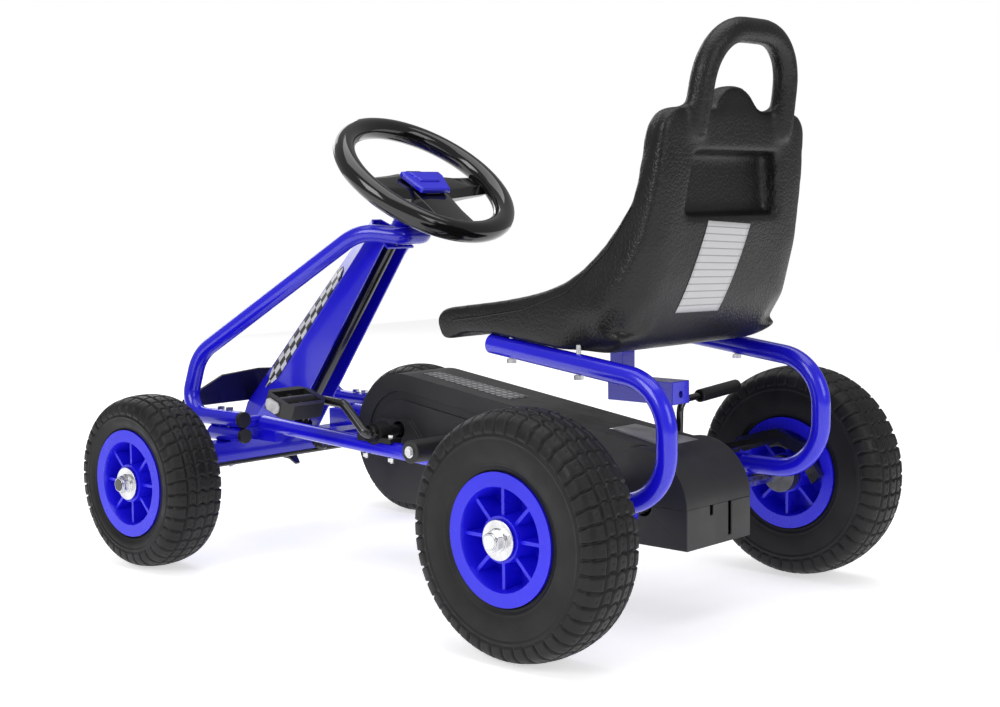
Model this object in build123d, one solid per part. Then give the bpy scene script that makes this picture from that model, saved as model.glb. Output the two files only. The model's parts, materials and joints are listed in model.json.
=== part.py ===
"""Child's pedal go kart: welded tube frame, chain drive, column steering, blow-moulded seat.

Frame: front faces -Y, driver's left is +X, +Z up, millimetres, origin on the ground
under the middle of the overall box.
"""
from build123d import *
from math import sin, cos, tan, atan2, degrees, radians, hypot
import os

# ---- driving dimensions -------------------------------------------------------
wheelbase = 713.0
rear_tyre_r = 140.0
front_tyre_r = 120.0
tyre_half_w = 42.0
rear_track_half = 278.0      # wheel centre plane from the middle
front_track_half = 264.0
axle_r = 8.0                 # rear axle and front stub axles
run = 0.05                   # radial running clearance of a shaft in its hole
air = 0.3                    # gap between faces that slide or rotate past each other
tube_r = 12.0                # hoop and seat tubes
tube_wall = 1.5
rail_r = 11.0
rail_half = 90.0             # rails from the middle
column_tilt = 37.0           # steering shaft from the vertical, leaning back
column_len = 476.0           # beam centre to steering wheel plane
kingpin_half = 200.0
kingpin_r = 6.0
drop_arm = 48.5              # steering shaft to its pin
knuckle_arm = 54.4           # kingpin to tie rod pin
crank_r = 97.0
crank_teeth, rear_teeth = 28, 18
seat_tube_half = 158.0       # seat tubes from the middle
case_half = 50.0             # chain case, half width
barrel_half = 65.0           # its rear housing, half width

# ---- places worked out from them ----------------------------------------------
rear_y = (wheelbase + front_tyre_r - rear_tyre_r) / 2
front_y = rear_y - wheelbase
rear_z, front_z = rear_tyre_r, front_tyre_r
beam_z0, beam_z1, beam_half_d = 130.0, 160.0, 17.0
beam_half = kingpin_half - 30.0
col_s, col_c = sin(radians(column_tilt)), cos(radians(column_tilt))
foot = Vector(0, front_y, 154.0)              # column axis at the front beam
col_axis = Vector(0, col_s, col_c)
tie_y = front_y + knuckle_arm
crank_y, crank_z = front_y + 281.5, 192.0
rail_y0, rail_z0 = front_y + 36.5, 184.5       # front end of a rail
rail_slope = -0.05
rail_y1 = rear_y - 24.5
seat_front_y, seat_front_z, seat_slope = rear_y - 156.0, 333.0, -0.125


# ---- shared shapes --------------------------------------------------------------
def block(x0, x1, y0, y1, z0, z1):
    return Pos((x0 + x1) / 2, (y0 + y1) / 2, (z0 + z1) / 2) * Box(x1 - x0, y1 - y0, z1 - z0)


def rod(p, q, r):
    p, q = Vector(*p), Vector(*q)
    stand = (Align.CENTER, Align.CENTER, Align.MIN)
    return Plane(origin=p, z_dir=q - p) * Cylinder(r, (q - p).length, align=stand)


def hexagon(p, q, across):
    p, q = Vector(*p), Vector(*q)
    return extrude(Plane(origin=p, z_dir=q - p) * RegularPolygon(across / 3 ** 0.5, 6), (q - p).length)


def bent(points, bends, r, wall=0.0):
    """A round bar, or a tube where wall is given, bent at each inner point."""
    path = FilletPolyline(*points, radius=bends)
    end = Plane(origin=path @ 0, z_dir=path % 0)
    bar = sweep(end * Circle(r), path=path)
    return bar - sweep(end * Circle(r - wall), path=path) if wall else bar


def column(s, lateral=0.0, forward=0.0):
    """The point s along the steering axis, with offsets across it."""
    return foot + col_axis * s + Vector(lateral, -forward * col_c, forward * col_s)


def column_rod(s0, s1, r):
    return rod(column(s0), column(s1), r)


def column_plane(s):
    """Local x is the kart's +X, local y points back and down, z is up the column."""
    return Plane(origin=column(s), x_dir=(1, 0, 0), z_dir=col_axis)


def rail_top(y):
    return rail_z0 + rail_slope * (y - rail_y0) + rail_r


def seat_rest_z(y):
    """Under side of the seat where it lies on the sloping seat tube."""
    return seat_tube_z(y) + tube_r + air


def seat_tube_z(y):
    return seat_front_z + seat_slope * (y - seat_front_y)


def flip(shape):
    return mirror(shape, about=Plane.YZ)


def side_face(*edges):
    return make_face(Plane.YZ * Curve(edges))


def cap_screw(x, y, z_low, z_high, r=3.0):
    """Hexagon bolt from above with its nut below."""
    bolt = rod((x, y, z_low - 7), (x, y, z_high), r)
    bolt += hexagon((x, y, z_high), (x, y, z_high + 4), 10) + hexagon((x, y, z_low - 5), (x, y, z_low), 10)
    return bolt


nodes = {}


# ---- frame ----------------------------------------------------------------------
bolt_r = 3.0
socket_half, socket_r, socket_z = 132.0, 11.0, beam_z1 + 10.5
hoop_bolt_ys = (front_y - 10, front_y + 10)
bearing_bolt_ys = (crank_y - 25, crank_y + 25)
lug_bolt_y = crank_y + 100
foot_rest_y, foot_rest_z = crank_y + 147, 190.0
outrigger_y, outrigger_z, outrigger_r = rear_y - 34.5, 160.0, 10.0
hanger_x0, hanger_x1 = 108.0, 114.0
bearing_r = 15.0
brake_y, brake_z, brake_r = rear_y - 64.5, 173.0, 5.0
seat_bolt_ys = (rear_y - 124, rear_y - 20)
tab_half, tab_y = 4.0, rear_y - 34.5


def front_beam():
    beam = block(-beam_half, beam_half, front_y - beam_half_d, front_y + beam_half_d, beam_z0, beam_z1)
    beam -= block(-beam_half - 1, beam_half + 1, front_y - beam_half_d + 2.5, front_y + beam_half_d - 2.5,
                  beam_z0 + 2.5, beam_z1 - 2.5)
    return beam + column_rod(-26, 20, 14)


def yoke():
    """The left C-bracket that holds a kingpin."""
    web = block(beam_half, beam_half + 5, front_y - 14, front_y + 14, 92.3, beam_z1)
    for z in (92.3, 143):
        web += block(beam_half, kingpin_half, front_y - 14, front_y + 14, z, z + 5)
        web += Pos(kingpin_half, front_y, z + 2.5) * Cylinder(14, 5)
    return web - rod((kingpin_half, front_y, 90), (kingpin_half, front_y, 150), kingpin_r)


def rail_side():
    """Left rail with its front bracket, hoop socket, foot rest lug and rear hanger."""
    low = (rail_half, rail_y0, rail_z0)
    high = (rail_half, rail_y1, rail_z0 + rail_slope * (rail_y1 - rail_y0))
    side = block(rail_half - 8, rail_half + 8, front_y - beam_half_d, rail_y0 + 34, beam_z1, rail_z0)
    side += rod((rail_half, rail_y0 - 12, rail_z0 + 3), (socket_half - tube_r, rail_y0 - 12, rail_z0 + 3), 8)
    side += rod((socket_half, front_y - 30, socket_z), (socket_half, rail_y0 + 4, socket_z), socket_r)
    side += block(rail_half - 9, rail_half + 9, foot_rest_y - 10, foot_rest_y + 10, rail_top(foot_rest_y) - 8,
                  foot_rest_z + 12)
    side += rod(low, high, rail_r) - rod(low, high, rail_r - tube_wall)
    side += rod((rail_half, outrigger_y, outrigger_z), (seat_tube_half - tab_half, outrigger_y, outrigger_z),
                outrigger_r)
    side += block(hanger_x0, hanger_x1, outrigger_y - 13, rear_y, rear_z - 18, outrigger_z + 14)
    side += rod((hanger_x0, rear_y, rear_z), (hanger_x1, rear_y, rear_z), 26)
    side -= rod((hanger_x0 - 1, rear_y, rear_z), (hanger_x1 + 1, rear_y, rear_z), bearing_r)
    side -= rod((rail_half - 20, foot_rest_y, foot_rest_z), (rail_half + 20, foot_rest_y, foot_rest_z), 5)
    side -= rod((130, outrigger_y, outrigger_z), (seat_tube_half, outrigger_y, outrigger_z), bolt_r)
    for y in bearing_bolt_ys + (lug_bolt_y,):
        side -= rod((rail_half, y, 140), (rail_half, y, 210), bolt_r)
    for y in hoop_bolt_ys:
        side -= rod((socket_half, y, 120), (socket_half, y, 220), bolt_r)
    return side


def cross_plate():
    y0 = crank_y - 128
    return block(-rail_half, rail_half, y0, y0 + 36, rail_top(y0) - 9, rail_top(y0) - 5)


def main_frame():
    frame = front_beam()
    for y in hoop_bolt_ys:
        for x in (-socket_half, socket_half):
            frame -= rod((x, y, 120), (x, y, 220), bolt_r)
    left = rail_side() + yoke()
    frame += left + flip(left) + cross_plate()
    return frame - column_rod(-30, 24, 10.5)


nodes["main_frame"] = main_frame()

hoop_z = socket_z + socket_r + tube_r
hoop_top = column(398, 0, -14.2 - tube_r)
hoop_tail = Vector(socket_half, rail_y0 + 1, hoop_z)
hoop_left = [tuple(hoop_tail), (138, front_y - 85.5, hoop_z), (126, front_y - 66, hoop_z + 88),
             (52, front_y + 208, 463), (21, hoop_top.Y, hoop_top.Z)]
hoop_right = [(-x, y, z) for x, y, z in reversed(hoop_left)]
hoop = bent(hoop_left + hoop_right, [34, 60, 70, 18, 18, 70, 60, 34], tube_r, tube_wall)
for x in (-socket_half, socket_half):
    for y in hoop_bolt_ys:
        hoop -= rod((x, y, 150), (x, y, 250), bolt_r)
nodes["front_hoop"] = hoop


def end_cap(x, y, z, r):
    """Domed black plug whose stem fills the tube end; it faces back."""
    cap = rod((x, y, z), (x, y + 2.5, z), r)
    dome = Pos(x, y + 2.5, z) * Sphere(r) & block(x - r, x + r, y + 2.4, y + 6.5, z - r, z + r)
    return cap + dome


caps = []
for x in (socket_half, -socket_half):
    caps += [end_cap(x, rail_y0 + 1.7, hoop_z, tube_r), end_cap(x, rail_y0 + 4, socket_z, socket_r)]
nodes["tube_caps"] = Compound(children=caps)
frame_bolts = [cap_screw(x, y, beam_z0, hoop_z + tube_r)
               for x in (-socket_half, socket_half) for y in hoop_bolt_ys]

# ---- steering column --------------------------------------------------------------
nodes["column_head"] = column_rod(372, 424, 14) - column_rod(370, 426, 10.5)
nodes["shaft_bushes"] = Compound(children=[column_rod(-26, 21, 10.5) - column_rod(-27, 22, axle_r + run),
                                           column_rod(372, 425, 10.5) - column_rod(371, 426, axle_r + run)])


def fairing_section(s, half, corner, front, front_half, back, wall):
    pts = [(half, back), (half, -corner), (front_half, -front),
           (-front_half, -front), (-half, -corner), (-half, back)]
    inner = [(half - wall, back + 6), (half - wall, wall / 2 - corner), (front_half - wall / 2, wall - front),
             (wall / 2 - front_half, wall - front), (wall - half, wall / 2 - corner), (wall - half, back + 6)]
    plane = column_plane(s)
    return plane * make_face(Polyline(*pts, close=True)), plane * make_face(Polyline(*inner, close=True))


def column_fairing():
    """Wedge-shaped sheet shell, open at the back, resting on the front beam."""
    low, low_in = fairing_section(-40, 31, 64, 106, 15, 8, 2.5)
    top, top_in = fairing_section(372, 26, 22, 46, 9, 8, 2.5)
    shell = loft([low, top]) - loft([low_in, top_in])
    shell -= block(-60, 60, front_y - 200, front_y + 60, 40, beam_z1)
    shell += (column_plane(368) * extrude(Rectangle(50, 34), 3)) - column_rod(360, 380, 14)
    return shell


# The front panel leans with the hoop's legs and closes the nose of the fairing.
leg_low, leg_high = Vector(0, *hoop_left[1][1:]), Vector(0, *hoop_left[2][1:])
leg = (leg_high - leg_low).normalized()
leg_front = Vector(0, -leg.Z, leg.Y)
panel_plane = Plane(origin=leg_low + leg_front * (tube_r + 0.1), x_dir=(1, 0, 0), z_dir=leg_front)
panel_pts = [(-140, 4), (140, 4), (136, 16), (68, 50), (0, 55), (-68, 50), (-136, 16)]
nodes["front_panel"] = extrude(panel_plane * make_face(Polyline(*panel_pts, close=True)), 4)
ahead = Box(400, 400, 100, align=(Align.CENTER, Align.CENTER, Align.MIN))
nodes["column_fairing"] = column_fairing() - panel_plane * ahead


def steering_shaft():
    shaft = column_rod(-42, column_len - 26, axle_r)
    arm = extrude(column_plane(24) * (Circle(15) + Pos(0, drop_arm) * Circle(12)
                                      + Pos(0, drop_arm / 2) * Rectangle(20, drop_arm)), 4)
    arm -= column_plane(23) * Pos(0, drop_arm) * extrude(Circle(7.5), 6)
    stop_plate = make_face(Polyline((-15, -9), (15, -9), (4, 28), (-4, 28), close=True))
    stop = extrude(column_plane(-35.5) * stop_plate, 3)
    nut = hexagon(column(-41), column(-35.5), 20)
    return shaft + arm + stop + nut


nodes["steering_shaft"] = steering_shaft()

ring_r, grip_r, hub_drop = 120.3, 14.8, 14.0


def steering_wheel():
    plane = column_plane(column_len)
    ring = plane * Torus(ring_r, grip_r)
    hub = column_rod(column_len - 48, column_len - 4, 24)
    hub += column_plane(column_len - 48) * Pos(0, 0, 12) * Cone(17, 34, 24)
    for side in (-1, 1):
        hub += plane * Pos(side * ring_r / 2, 0, -hub_drop) * Box(ring_r - 8, 34, 15)
    hub += plane * Pos(0, ring_r / 2, -hub_drop) * Box(60, ring_r - 8, 12)
    return ring + hub - column_rod(column_len - 50, column_len - 26, axle_r)


nodes["steering_wheel"] = steering_wheel()
nodes["wheel_cap"] = extrude(column_plane(column_len - 4) * make_face(
    Polyline((-38, -14), (38, -14), (27, 28), (-27, 28), close=True)), 7)


# ---- front wheel carriers -----------------------------------------------------------
def knuckle():
    x, y, z = kingpin_half, front_y, front_z
    body = rod((x, y, 97.6), (x, y, 142.7), 12)
    body += rod((x, y, z), (front_track_half + 54, y, z), axle_r)
    body += rod((x, y, z), (front_track_half - 39 - air, y, z), 13)
    body += block(x - 9, x + 9, y, tie_y, 128, 133) + rod((x, tie_y, 128), (x, tie_y, 133), 9)
    body += rod((x, tie_y, 130), (x, tie_y, 143), 4)
    return body - rod((x, y, 90), (x, y, 150), kingpin_r + run)


def kingpin(x):
    pin = rod((x, front_y, 84), (x, front_y, 148), kingpin_r)
    pin += hexagon((x, front_y, 148), (x, front_y, 154), 17)
    return pin + hexagon((x, front_y, 84.3), (x, front_y, 92.3), 17)


nodes["left_knuckle"] = knuckle()
nodes["right_knuckle"] = flip(knuckle())
nodes["kingpins"] = Compound(children=[kingpin(kingpin_half), kingpin(-kingpin_half)])

tie_z = 136.8
tie = rod((-kingpin_half, tie_y, tie_z), (kingpin_half, tie_y, tie_z), 3.2)
for x in (-kingpin_half, kingpin_half):
    tie += rod((x, tie_y, 133 + air), (x, tie_y, 140.3), 8)
    tie -= rod((x, tie_y, 120), (x, tie_y, 150), 4 + run)
tie += rod((0, tie_y, tie_z), (0, tie_y, 156), 4)
nodes["tie_rod"] = tie


# ---- wheels ---------------------------------------------------------------------------
bead_r, bead_half, flange_r, rim_half = 63.0, 35.0, 74.0, 39.0


def turned(*edges):
    """A body of revolution about the X axis from edges drawn in XY."""
    return revolve(make_face(Curve(edges)), Axis.X)


def tyre(r):
    lip, side, shoulder = flange_r + air, tyre_half_w, tyre_half_w - 6
    mid, b, w = (r - 9 + lip) / 2, bead_half - air, 6.5
    out = [Line((b, bead_r), (b, lip)), ThreePointArc((b, lip), (side, mid), (shoulder, r - 9)),
           ThreePointArc((shoulder, r - 9), (0, r), (-shoulder, r - 9)),
           ThreePointArc((-shoulder, r - 9), (-side, mid), (-b, lip)), Line((-b, lip), (-b, bead_r))]
    inner = [Line((w - b, bead_r), (w - b, lip)),
             ThreePointArc((w - b, lip), (w - side, mid), (w - shoulder, r - 9 - w)),
             ThreePointArc((w - shoulder, r - 9 - w), (0, r - w), (shoulder - w, r - 9 - w)),
             ThreePointArc((shoulder - w, r - 9 - w), (side - w, mid), (b - w, lip)),
             Line((b - w, lip), (b - w, bead_r))]
    return turned(*out, Line((-b, bead_r), (w - b, bead_r)), *inner, Line((b - w, bead_r), (b, bead_r)))


def inner_tube(r):
    """Inflated tube with its valve stem, bored so that the stem opens into it."""
    c, half = (bead_r + r - 9) / 2 + 2, (r - bead_r) / 2 - 10
    tube = Rot(0, 90, 0) * (Torus(c, half) - Torus(c, half - 2))
    bend = (0, 0, bead_r - 1)
    stem = rod((0, 0, c - half + 1), bend, 3.8) + rod(bend, (14, 0, bead_r - 24), 3.8)
    bore = rod((0, 0, c - half + 4), bend, 1.5) + rod(bend, (15, 0, bead_r - 25.7), 1.5)
    return Rot(valve_turn, 0, 0) * (tube + stem - bore)


valve_turn = 50.0


def rim():
    profile = [(rim_half, flange_r), (rim_half + 0.01, 58), (35, 56), (4, 53), (4, 28), (rim_half - 2, 26),
               (rim_half - 2, 11)]
    pts = profile + [(-x, y) for x, y in reversed(profile)]
    pts += [(-bead_half, flange_r), (-bead_half, bead_r - 0.5),
            (bead_half, bead_r - 0.5), (bead_half, flange_r)]
    wheel = revolve(make_face(Polyline(*pts, close=True)), Axis.X)
    for k in range(8):
        for x0, x1 in ((3, 32), (-32, -3)):
            wheel += Rot(45 * k, 0, 0) * block(x0, x1, -2, 2, 25, 56)
    hole = rod((0, 0, 70), (0, 0, bead_r - 1), 4.3) + rod((0, 0, bead_r - 1), (18, 0, bead_r - 31), 4.3)
    hole += Pos(0, 0, bead_r - 1) * Sphere(4.3)
    return wheel - Rot(valve_turn, 0, 0) * hole


def bushes():
    pair = []
    for s in (-1, 1):
        bush = rod((s * 18, 0, 0), (s * rim_half, 0, 0), 11)
        bush += rod((s * (rim_half - 2), 0, 0), (s * rim_half, 0, 0), 16)
        pair.append(bush - rod((0, 0, 0), (s * 50, 0, 0), axle_r + run))
    return Compound(children=pair)


def hub_nut():
    """Outer washer, spacer and locking nut, clear of the turning bush by the air gap."""
    x = rim_half + air
    nut = rod((x, 0, 0), (x + 2, 0, 0), 22.5) + rod((x + 2, 0, 0), (x + 4.5, 0, 0), 13)
    nut += hexagon((x + 4.5, 0, 0), (x + 12, 0, 0), 21)
    nut += Pos(x + 13, 0, 0) * Rot(0, 90, 0) * Cylinder(9.6, 2.4)
    return nut - rod((0, 0, 0), (70, 0, 0), axle_r)


rim_shape, bush_shape, nut_shape = rim(), bushes(), hub_nut()
for end, y, z, track, r in (("front", front_y, front_z, front_track_half, front_tyre_r),
                            ("rear", rear_y, rear_z, rear_track_half, rear_tyre_r)):
    pieces = {"tyre": tyre(r), "rim": rim_shape, "inner_tube": inner_tube(r), "bushes": bush_shape,
              "nut": nut_shape}
    for piece, shape in pieces.items():
        placed = Pos(track, y, z) * shape
        if end == "rear" and piece == "nut":
            nodes["rear_nuts"] = Compound(children=[placed, flip(placed)])
        else:
            nodes[f"{end}_left_{piece}"] = placed
            nodes[f"{end}_right_{piece}"] = flip(placed)

# ---- rear axle ---------------------------------------------------------------------------
drum_r, drum_w = 24.0, 14.0
axle = rod((-rear_track_half - 54, rear_y, rear_z), (rear_track_half + 54, rear_y, rear_z), axle_r)
rim_face = rear_track_half - rim_half
axle += rod((rim_face - 14, rear_y, rear_z), (rim_face, rear_y, rear_z), 14)
axle += rod((-hanger_x1 - 20, rear_y, rear_z), (-hanger_x1 - 8 - air, rear_y, rear_z), 12)
axle += rod((hanger_x1 + 20, rear_y, rear_z), (hanger_x1 + 8 + air, rear_y, rear_z), 12)
nodes["rear_axle"] = axle
drum_x = -rear_track_half + rim_half
drum = rod((drum_x, rear_y, rear_z), (drum_x + drum_w, rear_y, rear_z), drum_r)
drum -= rod((drum_x - 1, rear_y, rear_z), (drum_x + drum_w + 1, rear_y, rear_z), axle_r + run)
nodes["brake_drum"] = drum


def axle_bearing():
    b = rod((hanger_x0 - 6, rear_y, rear_z), (hanger_x1 + 8, rear_y, rear_z), bearing_r)
    b += rod((hanger_x1, rear_y, rear_z), (hanger_x1 + 8, rear_y, rear_z), 20)
    return b - rod((0, rear_y, rear_z), (200, rear_y, rear_z), axle_r + run)


nodes["axle_bearings"] = Compound(children=[axle_bearing(), flip(axle_bearing())])

# ---- chain drive -------------------------------------------------------------------------
pitch_front = 51.0
pitch_rear = pitch_front * rear_teeth / crank_teeth


def sprocket(y, z, pitch, teeth):
    disc = rod((-3, y, z), (3, y, z), pitch + 4) + rod((-12, y, z), (12, y, z), 18)
    for k in range(teeth):
        a = radians(360 * k / teeth)
        disc -= rod((-4, y + (pitch + 1.5) * cos(a), z + (pitch + 1.5) * sin(a)),
                    (4, y + (pitch + 1.5) * cos(a), z + (pitch + 1.5) * sin(a)), 3.6)
    return disc - rod((-13, y, z), (13, y, z), axle_r)


nodes["crank_sprocket"] = sprocket(crank_y, crank_z, pitch_front, crank_teeth)
nodes["rear_sprocket"] = sprocket(rear_y, rear_z, pitch_rear, rear_teeth)


def loop_face(y0, z0, r0, y1, z1, r1):
    """Two round ends joined by their outer tangents, in the YZ plane."""
    line = hypot(y1 - y0, z1 - z0)
    turn = atan2(z1 - z0, y1 - y0)
    lean = atan2((r0 - r1) / line, (1 - ((r0 - r1) / line) ** 2) ** 0.5)
    up, down = turn + radians(90) - lean, turn - radians(90) + lean
    spot = lambda y, z, r, a: (y + r * cos(a), z + r * sin(a))
    return side_face(Line(spot(y0, z0, r0, up), spot(y1, z1, r1, up)),
                     ThreePointArc(spot(y1, z1, r1, up), spot(y1, z1, r1, turn), spot(y1, z1, r1, down)),
                     Line(spot(y1, z1, r1, down), spot(y0, z0, r0, down)),
                     ThreePointArc(spot(y0, z0, r0, down), spot(y0, z0, r0, turn + radians(180)),
                                   spot(y0, z0, r0, up)))


def slab(face, x0, x1):
    return Pos(x0, 0, 0) * extrude(face, x1 - x0, dir=(1, 0, 0))


def loop(grow, x0, x1):
    return slab(loop_face(crank_y, crank_z, pitch_front + grow, rear_y, rear_z, pitch_rear + grow), x0, x1)


nodes["chain"] = loop(10.5, -3.5, 3.5) - loop(4.6, -4, 4)

# ---- chain case --------------------------------------------------------------------------
nose_y, nose_z, nose_r = crank_y + 2, crank_z - 12, 89.0
barrel_y, barrel_z, barrel_r = rear_y - 5.5, rear_z, 70.0
tray_z0, tray_z1, tray_y0, tray_y1 = 93.0, 142.0, rear_y - 76, rear_y + 64.5
case_wall = 2.5


def case_body(half, shrink):
    loop = loop_face(nose_y, nose_z, nose_r - shrink, barrel_y, barrel_z + 20, 50 - shrink)
    under = side_face(*Polyline((nose_y, nose_z - nose_r + shrink), (tray_y0, tray_z1 - 50 + shrink),
                                (tray_y0, nose_z), (nose_y, nose_z), close=True).edges())
    body = slab(loop, 0, half - shrink) + slab(under, 0, half - shrink)
    barrel = rod((0, barrel_y, barrel_z), (half + 15 - shrink, barrel_y, barrel_z), barrel_r - shrink)
    return body + barrel


def chain_case_left():
    shell = case_body(case_half, 0) - case_body(case_half, case_wall)
    band = loop_face(nose_y, nose_z, nose_r - 24, barrel_y, barrel_z + 20, 26)
    core = loop_face(nose_y, nose_z, nose_r - 36, barrel_y, barrel_z + 20, 14)
    groove = slab(band, case_half - 1.2, case_half + 1) - slab(core, case_half - 2, case_half + 2)
    groove &= block(40, 60, nose_y - 100, rear_y - 60, nose_z, 300)
    shell -= groove
    pad = side_face(*Polyline((nose_y - 48, nose_z - 22), (nose_y - 44, nose_z + 26),
                              (nose_y + 20, nose_z + 26), (nose_y + 52, nose_z - 8),
                              (nose_y + 56, nose_z - 22), close=True).edges())
    shell += slab(pad, case_half - 1, case_half + 4)
    shell -= block(-1, 100, tray_y0, rear_y + 100, 0, tray_z1)
    lug_z = rail_top(lug_bolt_y - 36) + 0.3
    shell += block(case_half - 1, rail_half + 12, lug_bolt_y - 36, lug_bolt_y + 30, lug_z, lug_z + 5)
    shell -= rod((rail_half, lug_bolt_y, 150), (rail_half, lug_bolt_y, 210), bolt_r)
    shell -= rod((0, crank_y, crank_z), (80, crank_y, crank_z), 12)
    return shell - rod((0, rear_y, rear_z), (80, rear_y, rear_z), 12)


def case_tray():
    tray = block(-barrel_half, barrel_half, tray_y0, tray_y1, tray_z0, tray_z1)
    w = case_wall
    tray -= block(w - barrel_half, barrel_half - w, tray_y0 + w, tray_y1 - w, tray_z0 + w, tray_z1 + 1)
    for x, low in ((16, tray_z1 - 12), (-22, tray_z0 + 8)):
        tray -= block(x - 3, x + 3, tray_y1 - w - 1, tray_y1 + 1, low, tray_z1 + 1)
    tray -= block(-14, 14, tray_y0 - 1, tray_y0 + w + 1, tray_z0 + w, tray_z1 + 1)
    return tray - rod((-80, rear_y, rear_z), (80, rear_y, rear_z), 12)


case_left = chain_case_left()
nodes["chain_case_left"] = case_left
nodes["chain_case_right"] = flip(case_left)
nodes["case_tray"] = case_tray()
lug_top = rail_top(lug_bolt_y - 36) + 5.3
frame_bolts += [cap_screw(x, lug_bolt_y, rail_top(lug_bolt_y) - 2 * rail_r - air, lug_top)
                for x in (rail_half, -rail_half)]

# ---- crank and pedals ----------------------------------------------------------------------
arm_x, crank_rod_r = 113.0, 6.5
pin_y, pin_z = crank_y - 88.0, crank_z + (crank_r ** 2 - 88.0 ** 2) ** 0.5
pedal_x0, pedal_x1 = 124.0, 200.0
pedal_tilt = -20.0             # a free pedal hangs with its rear edge down


def crank_arm():
    pts = [(98, crank_y, crank_z), (arm_x, crank_y, crank_z), (arm_x, crank_y - 44, crank_z + 38),
           (arm_x, pin_y, pin_z), (pedal_x1 - 6, pin_y, pin_z)]
    return bent(pts, [7.5, 14, 9], crank_rod_r)


def crank():
    shaft = rod((-100.5, crank_y, crank_z), (100.5, crank_y, crank_z), axle_r)
    left = crank_arm() + rod((101, crank_y, crank_z), (107, crank_y, crank_z), 12)
    right = Pos(0, crank_y, crank_z) * Rot(180, 0, 0) * Pos(0, -crank_y, -crank_z) * flip(left)
    return shaft + left + right


nodes["crank"] = crank()


def crank_bearing():
    y0, y1 = crank_y - 33, crank_y + 33
    body = block(rail_half - 10, rail_half + 10, y0, y1, rail_top(crank_y) - 3, rail_top(crank_y) + 4)
    body += rod((rail_half - 10, crank_y, crank_z), (rail_half + 10, crank_y, crank_z), 15)
    low = (rail_half, rail_y0, rail_z0)
    high = (rail_half, rail_y1, rail_z0 + rail_slope * (rail_y1 - rail_y0))
    body -= rod(low, high, rail_r)
    body -= rod((0, crank_y, crank_z), (200, crank_y, crank_z), axle_r + run)
    for y in bearing_bolt_ys:
        body -= rod((rail_half, y, 140), (rail_half, y, 230), bolt_r)
    return body


nodes["crank_bearings"] = Compound(children=[crank_bearing(), flip(crank_bearing())])
frame_bolts += [cap_screw(x, y, rail_top(y) - 2 * rail_r - air, rail_top(crank_y) + 4)
                for x in (rail_half, -rail_half) for y in bearing_bolt_ys]


def pedal():
    """Open block pedal with cut corners, blind at its outer end."""
    half_l, half_h, cut = 28.0, 10.5, 12.0
    outline = [(pedal_x0, cut - half_l), (pedal_x0 + cut, -half_l),
               (pedal_x1 - cut, -half_l), (pedal_x1, cut - half_l),
               (pedal_x1, half_l - cut), (pedal_x1 - cut, half_l),
               (pedal_x0 + cut, half_l), (pedal_x0, half_l - cut)]
    body = Pos(0, 0, -half_h) * extrude(make_face(Polyline(*outline, close=True)), 2 * half_h)
    body -= block(pedal_x0 + 9, pedal_x1 - 9, 9 - half_l, half_l - 9, -half_h - 1, half_h + 1)
    body += rod((pedal_x0, 0, 0), (pedal_x1, 0, 0), 10)
    body += block((pedal_x0 + pedal_x1) / 2 - 3, (pedal_x0 + pedal_x1) / 2 + 3, 4 - half_l, half_l - 4, -6, 6)
    return Rot(pedal_tilt, 0, 0) * (body - rod((0, 0, 0), (pedal_x1 - 6 + air, 0, 0), crank_rod_r + run))


def reflectors():
    """One lens on the pedal's outer end face."""
    lens = [(-13, -4), (-9, -8), (9, -8), (13, -4), (13, 4), (9, 8), (-9, 8), (-13, 4)]
    end = Plane(origin=(pedal_x1, 0, 0), x_dir=(0, 1, 0), z_dir=(1, 0, 0))
    return Rot(pedal_tilt, 0, 0) * extrude(end * make_face(Polyline(*lens, close=True)), 3)


left_spot = Pos(0, pin_y, pin_z)
right_spot = Pos(0, 2 * crank_y - pin_y, 2 * crank_z - pin_z)
nodes["left_pedal"] = left_spot * pedal()
nodes["right_pedal"] = right_spot * flip(pedal())
nodes["left_reflectors"] = left_spot * reflectors()
nodes["right_reflectors"] = right_spot * flip(reflectors())

# ---- foot rests ---------------------------------------------------------------------------
rest_x1, rest_r = 174.0, 14.5
rest = (rod((rail_half + 9, foot_rest_y, foot_rest_z), (rest_x1, foot_rest_y, foot_rest_z), rest_r)
        - rod((rail_half, foot_rest_y, foot_rest_z), (rest_x1 + 1, foot_rest_y, foot_rest_z), 5))
peg = (rod((rail_half - 13, foot_rest_y, foot_rest_z), (rest_x1 + 4, foot_rest_y, foot_rest_z), 5)
       + rod((rest_x1, foot_rest_y, foot_rest_z), (rest_x1 + 1.5, foot_rest_y, foot_rest_z), 7.5)
       + hexagon((rest_x1 + 1.5, foot_rest_y, foot_rest_z), (rest_x1 + 4, foot_rest_y, foot_rest_z), 10))
nodes["foot_rests"] = Compound(children=[rest, flip(rest)])
nodes["foot_rest_bolts"] = Compound(children=[peg, flip(peg)])

# ---- seat tubes and seat ----------------------------------------------------------------------
def seat_tube():
    x, back = seat_tube_half, rear_y + 105.5
    path = [(x, seat_front_y, seat_front_z), (x, back, seat_tube_z(back)),
            (x, back, 163), (x, rear_y - 8, 163)]
    tube = bent(path, [62, 62], tube_r, tube_wall)
    tube += block(x - tab_half, x + tab_half, tab_y - 12, rear_y, 151, 175)
    tube -= rod((x - 20, outrigger_y, outrigger_z), (x + 20, outrigger_y, outrigger_z), bolt_r)
    for y in seat_bolt_ys:
        tube -= rod((x, y, 290), (x, y, 360), bolt_r)
    return tube


def tab_bolt():
    y, z = outrigger_y, outrigger_z
    return (rod((132, y, z), (seat_tube_half + tab_half, y, z), bolt_r)
            + hexagon((seat_tube_half + tab_half, y, z), (seat_tube_half + tab_half + 4, y, z), 10))


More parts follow.
